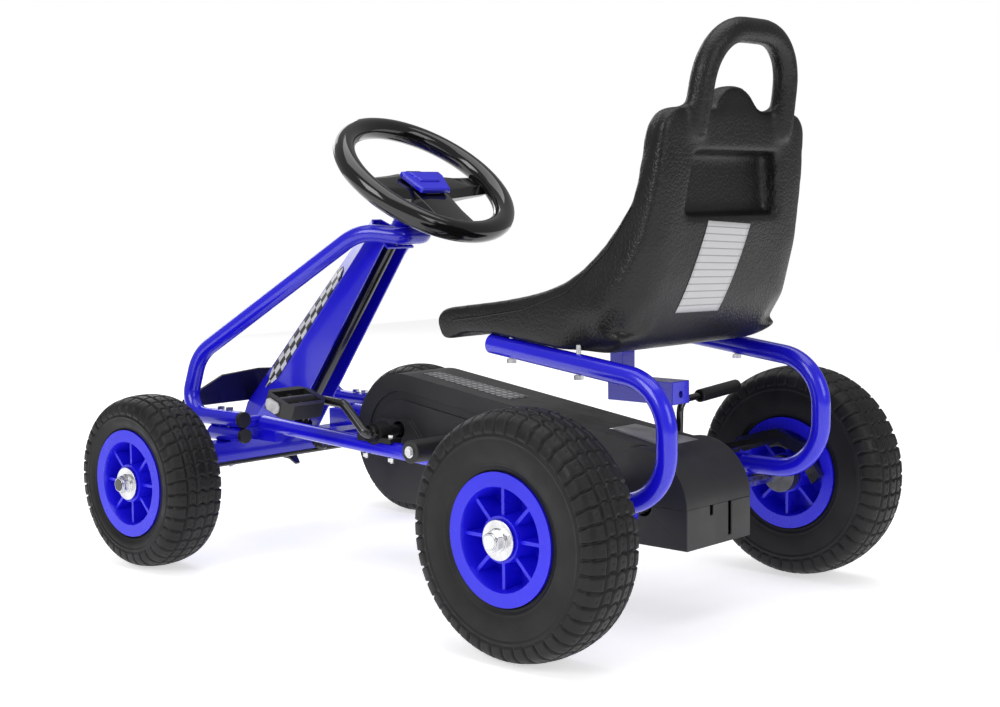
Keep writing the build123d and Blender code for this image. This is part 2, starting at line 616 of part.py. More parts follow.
def seat_bolt(x, y):
    low, high = seat_tube_z(y) - tube_r - 0.9, seat_rest_z(y) + 10
    return rod((x, y, low), (x, y, high), bolt_r) + hexagon((x, y, low - 5), (x, y, low), 10)


nodes["left_seat_tube"] = seat_tube()
nodes["right_seat_tube"] = flip(seat_tube())
nodes["frame_bolts"] = Compound(children=frame_bolts + [tab_bolt(), flip(tab_bolt())])
nodes["seat_bolts"] = Compound(children=[seat_bolt(x, y) for x in (seat_tube_half, -seat_tube_half)
                                         for y in seat_bolt_ys])

seat_y = rear_y - 346.5        # shift of the seat's own outline
seat_top = 605.0


def seat_curves():
    """Under side and back, then the wing edge from shoulder to front lip."""
    low = [(108, 345), (116, 333), (150, 344)]
    flat = [(190, seat_rest_z(seat_front_y)), (330, seat_rest_z(seat_front_y + 140))]
    back = [(330, flat[1][1]), (345, flat[1][1] - 1), (378, 338), (408, 385),
            (425, 450), (436, 530), (441, seat_top)]
    edge = [(424, seat_top), (408, 533), (368, 462), (318, 415), (250, 392), (180, 381), (118, 373)]
    return low, flat, back, edge


def seat_side():
    low, flat, back, edge = seat_curves()
    return side_face(Polyline(*low, flat[0], flat[1]), Spline(*back), Line(back[-1], edge[0]), Spline(*edge),
                     Polyline(edge[-1], (108, 364), low[0]))


def seat_core():
    low, flat, back, edge = seat_curves()
    inner = [(410, seat_top), (398, 530), (388, 455), (366, 396), (322, 361), (250, 362), (124, 364)]
    return side_face(Polyline(low[1], low[2], flat[0], flat[1]), Spline(*back), Line(back[-1], inner[0]),
                     Spline(*inner), Line(inner[-1], low[1]))


def seat_front_outline(inset=0.0):
    """Widest at the pan, drawn in above it, with round shoulders."""
    half = [(160, 318), (169, 345), (168, 395), (154, 465), (146, 530), (142, 572)]
    half = [(x - inset, z) for x, z in half]
    right = [(-x, z) for x, z in reversed(half)]
    shoulder = ThreePointArc(half[-1], (half[-1][0] - 9, 596), (half[-1][0] - 32, seat_top))
    shoulder_r = ThreePointArc((32 - half[-1][0], seat_top), (9 - half[-1][0], 596), right[0])
    face = make_face(Curve([Line(right[-1], half[0]), Spline(*half), shoulder,
                            Line((half[-1][0] - 32, seat_top), (32 - half[-1][0], seat_top)), shoulder_r,
                            Spline(*right)]))
    return extrude(Plane.XZ * face, 600, both=True)


def seat():
    body = slab(seat_side(), -172, 172) & seat_front_outline()
    hollow = slab(seat_side(), -172, 172) & seat_front_outline(22)
    body = body - hollow + (slab(seat_core(), -172, 172) & seat_front_outline(4))
    void = [(200, 350), (250, 343.5), (322, 334.5), (372, 344), (401, 388), (419, 450), (424, 480),
            (397, 480), (394, 455), (378, 400), (352, 366), (324, 354), (250, 356), (200, 357)]
    body -= slab(side_face(*Polyline(*void, close=True).edges()), -118, 118)
    grip = bent([(86, 436, 575), (80, 455, 693), (-80, 455, 693), (-86, 436, 575)], [64, 64], 15.5)
    hump = rod((0, 408, 588), (0, 438, 588), 45) & block(-50, 50, 400, 445, 588, 640)
    pocket_face = make_face(Polyline((-92, 485), (92, 485), (83, 556), (-83, 556), close=True))
    pocket = extrude(Plane.XZ.offset(-445) * pocket_face, 34)
    body = body + grip + hump - pocket
    for x in (seat_tube_half, -seat_tube_half):
        for y in seat_bolt_ys:
            z = seat_rest_z(y)
            body -= rod((x, y - seat_y, z - 5), (x, y - seat_y, z + 10), bolt_r)
    return Pos(0, seat_y, 0) * body


nodes["seat"] = seat()


def seat_bracket():
    """Formed channel hung under the seat pan on one post."""
    y0, y1, z0, z1 = rear_y - 92, rear_y + 8, 256.0, 284.0
    b = block(-17, 17, y0, y1, z0, z1) - block(-15, 15, y0 - 1, y1 - 2, z0 - 1, z1 - 2)
    b -= rod((0, y1 - 5, z0 + 12), (0, y1 + 5, z0 + 12), 4)
    return b + block(-12, 12, y0, y0 + 20, z1 - 2, seat_rest_z(y0 + 20) - air)


nodes["seat_bracket"] = seat_bracket()

# ---- hand brake ---------------------------------------------------------------------------
brake_x = -rail_half - 3.5
shoe_x0, shoe_x1 = drum_x + 1.5, drum_x + 12.5


def brake_bracket():
    side = -rail_half
    ears = []
    for x0, x1 in ((side - rail_r - 4, side - rail_r), (side + rail_r, side + rail_r + 4)):
        ears.append(block(x0, x1, brake_y - 11, brake_y + 11, rail_top(brake_y) - 18, brake_z + 9)
                    - rod((x0 - 1, brake_y, brake_z), (x1 + 1, brake_y, brake_z), brake_r + run))
    return Compound(children=ears)


def brake_lever():
    bar = rod((-rail_half + rail_r + 8, brake_y, brake_z), (shoe_x0, brake_y, brake_z), brake_r)
    hand_path = [(brake_x, brake_y, brake_z), (brake_x, brake_y + 2, 246), (-222, brake_y + 2, 254)]
    hand = bent(hand_path, [16], 4.5)
    arm = [(brake_y - 9, brake_z - 2), (brake_y - 4, brake_z + 10), (rear_y - 6, rear_z + 60),
           (rear_y + 34, rear_z + 44), (rear_y + 62, rear_z + 4), (rear_y + 50, rear_z - 8),
           (rear_y + 26, rear_z + 30), (rear_y - 2, rear_z + 43), (brake_y + 10, brake_z - 8)]
    plate = slab(side_face(*Polyline(*arm, close=True).edges()), shoe_x0, shoe_x1)
    return bar + hand + plate


nodes["brake_bracket"] = brake_bracket()
nodes["brake_lever"] = brake_lever()
grip = rod((-134, brake_y + 2, 247.9), (-219, brake_y + 2, 253.8), 8.5)
nodes["brake_grip"] = grip - brake_lever()
shoe = block(shoe_x0, shoe_x1, rear_y - 16, rear_y + 12, rear_z + 34, rear_z + 48)
shoe -= rod((shoe_x0 - 1, rear_y - 2, rear_z + 12), (shoe_x1 + 1, rear_y - 2, rear_z + 12), drum_r + 0.6)
nodes["brake_shoe"] = shoe - brake_lever()

if __name__ == "__main__":
    os.makedirs("parts", exist_ok=True)
    for name, shape in nodes.items():
        export_step(shape, f"parts/{name}.step")
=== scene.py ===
import json
import math

import bmesh
import bpy
import numpy as np
from mathutils import Matrix, Vector

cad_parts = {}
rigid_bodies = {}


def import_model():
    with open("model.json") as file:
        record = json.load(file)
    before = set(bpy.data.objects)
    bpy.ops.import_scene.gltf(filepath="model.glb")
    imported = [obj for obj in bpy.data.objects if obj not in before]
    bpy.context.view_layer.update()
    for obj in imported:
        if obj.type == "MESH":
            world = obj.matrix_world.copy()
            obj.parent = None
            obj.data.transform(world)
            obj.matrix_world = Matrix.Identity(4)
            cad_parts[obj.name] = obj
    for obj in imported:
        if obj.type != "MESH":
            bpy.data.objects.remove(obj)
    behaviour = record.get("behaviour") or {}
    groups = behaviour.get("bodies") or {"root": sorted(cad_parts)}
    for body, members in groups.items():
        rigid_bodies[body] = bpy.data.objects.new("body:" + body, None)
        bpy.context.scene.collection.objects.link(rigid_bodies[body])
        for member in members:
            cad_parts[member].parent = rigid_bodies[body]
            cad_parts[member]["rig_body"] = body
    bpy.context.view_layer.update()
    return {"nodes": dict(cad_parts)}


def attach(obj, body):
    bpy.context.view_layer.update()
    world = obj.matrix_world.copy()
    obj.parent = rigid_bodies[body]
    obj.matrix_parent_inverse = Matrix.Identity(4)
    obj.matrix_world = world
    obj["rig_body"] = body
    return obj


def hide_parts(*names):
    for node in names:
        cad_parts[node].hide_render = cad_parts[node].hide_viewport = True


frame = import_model()

# ---------------------------------------------------------------------------------
# Main frame: square front beam, two round rails, cross plate and rear hangers, all
# mild steel tube and plate, welded, then powder coated royal blue in one piece.
# The smaller blue steel pieces are coated in the same batch.
# ---------------------------------------------------------------------------------
blue_coat = (0.010, 0.006, 0.72)
coat_peel = 0.035


def start_material(name):
    """A new node material and its shader."""
    material = bpy.data.materials.new(name)
    material.use_nodes = True
    return material, material.node_tree.nodes["Principled BSDF"]


def add_node(material, kind, **settings):
    node = material.node_tree.nodes.new(kind)
    for key, value in settings.items():
        if key in node.inputs:
            node.inputs[key].default_value = value
        else:
            setattr(node, key, value)
    return node


def join(material, source, target):
    material.node_tree.links.new(source, target)


def mottle(material, shader, low, high, scale, socket="Base Color", detail=4.0):
    """A slow change between two colours or two values, in the object's own space."""
    where = add_node(material, "ShaderNodeTexCoord")
    noise = add_node(material, "ShaderNodeTexNoise", Scale=scale, Detail=detail)
    ramp = add_node(material, "ShaderNodeValToRGB")
    for stop, shade in zip(ramp.color_ramp.elements, (low, high)):
        stop.color = (*shade, 1) if isinstance(shade, tuple) else (shade, shade, shade, 1)
    ramp.color_ramp.elements[0].position, ramp.color_ramp.elements[1].position = 0.32, 0.68
    join(material, where.outputs["Object"], noise.inputs["Vector"])
    join(material, noise.outputs["Fac"], ramp.inputs["Fac"])
    join(material, ramp.outputs["Color"], shader.inputs[socket])


def grain(material, shader, scale, strength, depth=0.0004, detail=3.0):
    """Fine relief from noise, in the object's own space."""
    where = add_node(material, "ShaderNodeTexCoord")
    noise = add_node(material, "ShaderNodeTexNoise", Scale=scale, Detail=detail)
    relief = add_node(material, "ShaderNodeBump", Strength=strength, Distance=depth)
    join(material, where.outputs["Object"], noise.inputs["Vector"])
    join(material, noise.outputs["Fac"], relief.inputs["Height"])
    join(material, relief.outputs["Normal"], shader.inputs["Normal"])


def powder_coat(name, shade, deep):
    material, shader = start_material(name)
    mottle(material, shader, deep, shade, 3.0)
    mottle(material, shader, 0.20, 0.27, 14.0, "Roughness")
    grain(material, shader, 260, coat_peel)
    shader.inputs["Coat Weight"].default_value = 0.6
    shader.inputs["Coat Roughness"].default_value = 0.08
    return material


powder_blue = powder_coat("powder_blue", blue_coat, (0.008, 0.004, 0.62))


def body_of_node(node):
    return frame["nodes"][node]["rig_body"]


def take_place(piece, *nodes):
    """The finished piece rides with, and stands for, CAD nodes."""
    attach(piece, body_of_node(nodes[0]))
    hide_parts(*nodes)
    return piece


def link_mesh(name, mesh, material):
    piece = bpy.data.objects.new(name, mesh)
    bpy.context.scene.collection.objects.link(piece)
    mesh.materials.clear()
    mesh.materials.append(material)
    return piece


def sharpen(bm, angle):
    """Smooth faces, with edges above this angle kept crisp."""
    for face in bm.faces:
        face.smooth = True
    for edge in bm.edges:
        edge.smooth = len(edge.link_faces) == 2 and edge.calc_face_angle(0) < math.radians(angle)


def eased(node, material, edge=0.0006, angle=32, segments=2, flat_angle=0.002):
    """The CAD shape of a node as a made piece, with its edges broken by a small round."""
    source = frame["nodes"][node]
    mesh = source.data.copy()
    bm = bmesh.new()
    bm.from_mesh(mesh)
    bmesh.ops.remove_doubles(bm, verts=bm.verts, dist=1e-6)
    bmesh.ops.dissolve_degenerate(bm, edges=bm.edges, dist=1e-6)
    bmesh.ops.dissolve_limit(bm, angle_limit=math.radians(flat_angle), verts=bm.verts, edges=bm.edges)
    sharpen(bm, angle)
    bm.to_mesh(mesh)
    bm.free()
    piece = link_mesh(node + "_made", mesh, material)
    if edge:
        rounding = piece.modifiers.new("edge", "BEVEL")
        rounding.width, rounding.segments = edge, segments
        rounding.limit_method, rounding.angle_limit = "ANGLE", math.radians(angle)
        rounding.harden_normals = False
        piece.modifiers.new("normals", "WEIGHTED_NORMAL").keep_sharp = True
    return take_place(piece, node)


eased("main_frame", powder_blue)
eased("column_head", powder_blue, edge=0.0004)
eased("left_seat_tube", powder_blue, edge=0)
eased("right_seat_tube", powder_blue, edge=0)
eased("brake_bracket", powder_blue)
eased("seat_bracket", powder_blue, edge=0.0008)

# ---------------------------------------------------------------------------------
# Front hoop: one tube bent round the column head and down to both ends of the front
# beam, swept as a whole so that its powder coat reads evenly round every bend.
# ---------------------------------------------------------------------------------
hoop_half = [(0.132, -0.329, 0.1935), (0.138, -0.452, 0.1935), (0.126, -0.4325, 0.2815),
             (0.052, -0.1585, 0.463), (0.021, -0.10605, 0.45609)]
hoop_bends = [0.034, 0.060, 0.070, 0.018]
hoop_path = [Vector(p) for p in hoop_half] + [Vector((-x, y, z)) for x, y, z in reversed(hoop_half)]
hoop_bends = hoop_bends + hoop_bends[::-1]
hoop_radius, hoop_sides = 0.012, 40
bend_steps = 16
line = [hoop_path[0]]
for before, corner, after, bend in zip(hoop_path, hoop_path[1:], hoop_path[2:], hoop_bends):
    to_start, to_end = (before - corner).normalized(), (after - corner).normalized()
    half_angle = to_start.angle(to_end) / 2
    middle = corner + (to_start + to_end).normalized() * (bend / math.sin(half_angle))
    reach = bend / math.tan(half_angle)
    a, b = corner + to_start * reach - middle, corner + to_end * reach - middle
    line += [middle + a.slerp(b, k / bend_steps) * bend for k in range(bend_steps + 1)]
line.append(hoop_path[-1])
bm = bmesh.new()
rings, across = [], None
for k, spot in enumerate(line):
    along = (line[min(k + 1, len(line) - 1)] - line[max(k - 1, 0)]).normalized()
    across = (across or Vector((0, 0, 1))) - along * (across or Vector((0, 0, 1))).dot(along)
    across.normalize()
    other = along.cross(across)
    rings.append([bm.verts.new(spot + (across * math.cos(t) + other * math.sin(t)) * hoop_radius)
                  for t in (2 * math.pi * n / hoop_sides for n in range(hoop_sides))])
for a, b in zip(rings, rings[1:]):
    for n in range(hoop_sides):
        bm.faces.new((a[n], a[(n + 1) % hoop_sides], b[(n + 1) % hoop_sides], b[n]))
bm.faces.new(list(reversed(rings[0])))
bm.faces.new(rings[-1])
bmesh.ops.recalc_face_normals(bm, faces=bm.faces)
sharpen(bm, 32)
hoop_mesh = bpy.data.meshes.new("front_hoop_made")
bm.to_mesh(hoop_mesh)
bm.free()
take_place(link_mesh("front_hoop_made", hoop_mesh, powder_blue), "front_hoop")

# ---------------------------------------------------------------------------------
# Fasteners and turned parts: bolts, nuts, kingpins and washers in bright zinc plate,
# cold headed and rolled; the nuts lock with a plastic ring.
# ---------------------------------------------------------------------------------


def bright_zinc():
    material, shader = start_material("bright_zinc")
    mottle(material, shader, (0.62, 0.62, 0.63), (0.78, 0.78, 0.80), 60)
    mottle(material, shader, 0.18, 0.34, 90, "Roughness")
    grain(material, shader, 700, 0.08)
    shader.inputs["Metallic"].default_value = 1.0
    return material


zinc = bright_zinc()
for node in ("frame_bolts", "kingpins", "seat_bolts", "foot_rest_bolts", "front_left_nut", "front_right_nut",
             "rear_nuts", "rear_axle", "axle_bearings"):
    eased(node, zinc, edge=0.0005)

# ---------------------------------------------------------------------------------
# Chain, sprockets and brake drum: plain oiled steel, hidden in the chain case apart
# from the drum inside the right rear wheel.
# ---------------------------------------------------------------------------------


def oiled_steel():
    material, shader = start_material("oiled_steel")
    mottle(material, shader, (0.10, 0.10, 0.11), (0.22, 0.22, 0.23), 40)
    mottle(material, shader, 0.35, 0.55, 70, "Roughness")
    grain(material, shader, 500, 0.12)
    shader.inputs["Metallic"].default_value = 1.0
    return material


dark_steel = oiled_steel()
for node in ("chain", "crank_sprocket", "rear_sprocket", "brake_drum"):
    eased(node, dark_steel, edge=0.0003)

# ---------------------------------------------------------------------------------
# Black steel parts: steering shaft, tie rod, knuckles, cranks, brake lever, all bent
# or cut from bar and coated gloss black.
# ---------------------------------------------------------------------------------
black_coat = powder_coat("black_coat", (0.012, 0.012, 0.013), (0.007, 0.007, 0.008))
for node in ("steering_shaft", "tie_rod", "left_knuckle", "right_knuckle", "crank", "brake_lever"):
    eased(node, black_coat, edge=0.0005)
eased("front_panel", black_coat, edge=0.0012, segments=3)

# ---------------------------------------------------------------------------------
# Small black mouldings and rubber: tube plugs, shaft and wheel bushes, crank bearing
# blocks, foot rest sleeves and the brake's grip and shoe.
# ---------------------------------------------------------------------------------


def satin_moulding(name, shade, rough, scale=420):
    material, shader = start_material(name)
    mottle(material, shader, tuple(c * 0.8 for c in shade), shade, 12)
    mottle(material, shader, rough - 0.05, rough + 0.06, 30, "Roughness")
    grain(material, shader, scale, 0.10)
    return material


black_moulding = satin_moulding("black_moulding", (0.016, 0.016, 0.017), 0.38)
black_rubber = satin_moulding("black_rubber", (0.014, 0.014, 0.015), 0.46, 900)
for node in ("tube_caps", "shaft_bushes", "crank_bearings", "front_left_bushes", "front_right_bushes",
             "rear_left_bushes", "rear_right_bushes"):
    eased(node, black_moulding, edge=0.0008)
for node in ("foot_rests", "brake_grip", "brake_shoe", "front_left_inner_tube", "front_right_inner_tube",
             "rear_left_inner_tube", "rear_right_inner_tube"):
    eased(node, black_rubber, edge=0.0015, segments=3)

# ---------------------------------------------------------------------------------
# Column fairing: one folded and welded steel sheet, open at the back where the black
# steering shaft shows, coated blue. Its left and right front folds each carry a
# printed sticker of plain black and white squares.
# ---------------------------------------------------------------------------------
eased("column_fairing", powder_blue, edge=0.0012, segments=3, angle=12)
column_foot = Vector((0, -0.3665, 0.154))
column_up = Vector((0, math.sin(math.radians(37)), math.cos(math.radians(37))))
column_back = Vector((0, column_up.z, -column_up.y))
sticker_from, sticker_to = 0.030, 0.285
fairing_low, fairing_high = (-0.040, 0.031, 0.064, 0.106, 0.015), (0.372, 0.026, 0.022, 0.046, 0.009)
sticker_lift = 0.0007


def fairing_fold(s):
    """The two edges of the slanting front face at s along the column, left side."""
    t = (s - fairing_low[0]) / (fairing_high[0] - fairing_low[0])
    half, corner, front, front_half = (a + (b - a) * t for a, b in zip(fairing_low[1:], fairing_high[1:]))
    base = column_foot + column_up * s
    inner = base + Vector((half, 0, 0)) - column_back * corner
    outer = base + Vector((front_half, 0, 0)) - column_back * front
    return inner, outer


def squares_print():
    material, shader = start_material("squares_print")
    where = add_node(material, "ShaderNodeUVMap", uv_map="print")
    squares = add_node(material, "ShaderNodeTexChecker", Scale=1.0)
    squares.inputs["Color1"].default_value = (0.85, 0.85, 0.86, 1)
    squares.inputs["Color2"].default_value = (0.010, 0.010, 0.012, 1)
    join(material, where.outputs["UV"], squares.inputs["Vector"])
    join(material, squares.outputs["Color"], shader.inputs["Base Color"])
    mottle(material, shader, 0.22, 0.30, 50, "Roughness")
    grain(material, shader, 300, 0.03)
    shader.inputs["Coat Weight"].default_value = 0.4
    return material


def sheet_grid(name, corner_at, across, along, material, cell, thickness=0.0002):
    """A thin printed film: a grid of points from corner_at(u, v), with print squares."""
    bm = bmesh.new()
    layer = bm.loops.layers.uv.new("print")
    points = [[bm.verts.new(corner_at(i / across, j / along)) for j in range(along + 1)]
              for i in range(across + 1)]
    for i in range(across):
        for j in range(along):
            face = bm.faces.new((points[i][j], points[i + 1][j], points[i + 1][j + 1], points[i][j + 1]))
            face.smooth = True
            for loop, (a, b) in zip(face.loops, ((i, j), (i + 1, j), (i + 1, j + 1), (i, j + 1))):
                loop[layer].uv = (a / across * cell[0], b / along * cell[1])
    mesh = bpy.data.meshes.new(name)
    bm.to_mesh(mesh)
    bm.free()
    film = link_mesh(name, mesh, material)
    thick = film.modifiers.new("film", "SOLIDIFY")
    thick.thickness, thick.offset = thickness, 0
    return film


print_material = squares_print()
for side, word in ((1, "left"), (-1, "right")):
    def on_fold(u, v, side=side):
        s = sticker_from + (sticker_to - sticker_from) * v
        inner, outer = fairing_fold(s)
        narrow = min(1.0, v / 0.14, (1.0 - v) / 0.02 + 0.4)
        share = 0.12 + 0.78 * (0.5 + (u - 0.5) * narrow)
        point = inner + (outer - inner) * share
        out = (outer - inner).cross(column_up).normalized()
        out = out if out.x > 0 else -out
        point = point + out * sticker_lift
        return Vector((point.x * side, point.y, point.z))
    film = sheet_grid("fairing_sticker_" + word, on_fold, 6, 30, print_material, (3.0, 15.0))
    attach(film, "frame")

# ---------------------------------------------------------------------------------
# Steering wheel: a gloss black moulded ring on two broad lateral spokes and a broad
# lower one, with an eight-sided cone under the hub.
# ---------------------------------------------------------------------------------
wheel_place = 0.476
ring_radius, ring_section = 0.1203, 0.0148
ring_steps, ring_sides = 128, 28


def gloss_black_moulding():
    material, shader = start_material("gloss_black_moulding")
    mottle(material, shader, (0.0035, 0.0035, 0.0038), (0.006, 0.006, 0.0065), 6)
    mottle(material, shader, 0.09, 0.15, 25, "Roughness")
    grain(material, shader, 35, 0.05, 0.0006)
    shader.inputs["Coat Weight"].default_value = 0.5
    shader.inputs["Coat Roughness"].default_value = 0.05
    return material


gloss_black = gloss_black_moulding()


def on_column(s, lateral, back):
    return column_foot + column_up * s + Vector((lateral, 0, 0)) + column_back * back


def ring_of(bm, points):
    return [bm.verts.new(p) for p in points]


def skin(bm, loops, cap=True):
    """Faces between closed loops of equal length, and over both ends."""
    for a, b in zip(loops, loops[1:]):
        n = len(a)
        for i in range(n):
            bm.faces.new((a[i], a[(i + 1) % n], b[(i + 1) % n], b[i]))
    if cap:
        bm.faces.new(list(reversed(loops[0])))
        bm.faces.new(loops[-1])


def finished(bm, name, material, edge=0.001, segments=3, angle=32):
    bmesh.ops.recalc_face_normals(bm, faces=bm.faces)
    sharpen(bm, angle)
    mesh = bpy.data.meshes.new(name)
    bm.to_mesh(mesh)
    bm.free()
    piece = link_mesh(name, mesh, material)
    if edge:
        rounding = piece.modifiers.new("edge", "BEVEL")
        rounding.width, rounding.segments = edge, segments
        rounding.limit_method, rounding.angle_limit = "ANGLE", math.radians(angle)
        piece.modifiers.new("normals", "WEIGHTED_NORMAL").keep_sharp = True
    return piece


bm = bmesh.new()
loops = []
for i in range(ring_steps):
    a = 2 * math.pi * i / ring_steps
    out = Vector((math.cos(a), 0, 0)) + column_back * math.sin(a)
    centre = on_column(wheel_place, 0, 0) + out * ring_radius
    loops.append(ring_of(bm, [centre + (out * math.cos(b) + column_up * math.sin(b)) * ring_section
                              for b in (2 * math.pi * k / ring_sides for k in range(ring_sides))]))
skin(bm, loops + [loops[0]], cap=False)
# the two lateral spokes: a stepped bar that widens into the hub; each row is the
# distance from the column, half width, top and underside
for side in (-1, 1):
    steps = []
    for reach, width, top, low in ((0.020, 0.030, -0.007, -0.030), (0.045, 0.026, -0.008, -0.027),
                                   (0.080, 0.0215, -0.008, -0.023), (0.112, 0.0200, -0.006, -0.019)):
        section = [(-width, top - 0.006), (-width * 0.62, top - 0.001), (-width * 0.45, top + 0.0015),
                   (width * 0.45, top + 0.0015), (width * 0.62, top - 0.001), (width, top - 0.006),
                   (width * 0.8, low), (-width * 0.8, low)]
        steps.append(ring_of(bm, [on_column(wheel_place + h, side * reach, b) for b, h in section]))
    skin(bm, steps)
# the lower spoke
steps = []
for reach, width, top, low in ((0.015, 0.031, -0.008, -0.028), (0.060, 0.029, -0.009, -0.024),
                               (0.112, 0.030, -0.007, -0.019)):
    section = [(-width, low), (-width, top), (-width * 0.5, top + 0.002),
               (width * 0.5, top + 0.002), (width, top), (width, low)]
    steps.append(ring_of(bm, [on_column(wheel_place + h, w, reach) for w, h in section]))
skin(bm, steps)
# hub: eight-sided cone below, flat plate on top
steps = []
for height, wide, deep in ((-0.048, 0.017, 0.017), (-0.036, 0.020, 0.020), (-0.024, 0.030, 0.026),
                           (-0.012, 0.035, 0.029), (-0.005, 0.034, 0.028)):
    steps.append(ring_of(bm, [on_column(wheel_place + height, wide * math.cos(a), deep * math.sin(a))
                              for a in (math.pi / 8 + math.pi / 4 * k for k in range(8))]))
skin(bm, steps)
wheel_made = finished(bm, "steering_wheel_made", gloss_black, edge=0.0012)
take_place(wheel_made, "steering_wheel")

# ---------------------------------------------------------------------------------
# Wheel cap: a blue moulding with a raised centre, pressed on top of the hub. Its lower
# side is narrower than its upper one.
# ---------------------------------------------------------------------------------
gloss_blue_moulding, gloss_blue = start_material("gloss_blue_moulding")
mottle(gloss_blue_moulding, gloss_blue, (0.014, 0.012, 0.66), (0.020, 0.018, 0.80), 5)
mottle(gloss_blue_moulding, gloss_blue, 0.16, 0.24, 30, "Roughness")
grain(gloss_blue_moulding, gloss_blue, 90, 0.03)
gloss_blue.inputs["Coat Weight"].default_value = 0.3
bm = bmesh.new()
cap_steps = []
for height, grow in ((-0.004, 1.0), (0.0015, 1.0), (0.003, 0.94)):
    outline = [(-0.036, -0.014), (0.036, -0.014), (0.038, -0.006),
               (0.027, 0.028), (-0.027, 0.028), (-0.038, -0.006)]
    cap_steps.append(ring_of(bm, [on_column(wheel_place + height, x * grow, y * grow) for x, y in outline]))
skin(bm, cap_steps)
raised = []
for height, grow in ((0.0028, 1.0), (0.0052, 0.9)):
    outline = [(-0.027, -0.010), (0.027, -0.010), (0.019, 0.011), (-0.019, 0.011)]
    raised.append(ring_of(bm, [on_column(wheel_place + height, x * grow, y * grow) for x, y in outline]))
skin(bm, raised)
take_place(finished(bm, "wheel_cap_made", gloss_blue_moulding, edge=0.0012), "wheel_cap")

# ---------------------------------------------------------------------------------
# Wheels: blue moulded rims with eight ribs, and pneumatic tyres. The tread is cut
# into five bands by ring grooves; each band's blocks are parted by shallow V grooves,
# with a pin hole in each block, and long lugs run down the shoulders to a step.
# ---------------------------------------------------------------------------------
rim_moulding, rim_shader = start_material("rim_moulding")
mottle(rim_moulding, rim_shader, (0.012, 0.008, 0.70), (0.018, 0.012, 0.82), 8)
mottle(rim_moulding, rim_shader, 0.26, 0.36, 30, "Roughness")
grain(rim_moulding, rim_shader, 380, 0.05)
for node in ("front_left_rim", "front_right_rim", "rear_left_rim", "rear_right_rim"):
    eased(node, rim_moulding, edge=0.0009, segments=3)

tyre_rubber, rubber_shader = start_material("tyre_rubber")
mottle(tyre_rubber, rubber_shader, (0.006, 0.006, 0.0063), (0.013, 0.013, 0.0135), 22, detail=8)
mottle(tyre_rubber, rubber_shader, 0.40, 0.60, 45, "Roughness")
grain(tyre_rubber, rubber_shader, 520, 0.22, 0.0005)
rubber_shader.inputs["Specular IOR Level"].default_value = 0.30


def smooth_step(low, high, value):
    t = np.clip((value - low) / (high - low), 0, 1)
    return t * t * (3 - 2 * t)


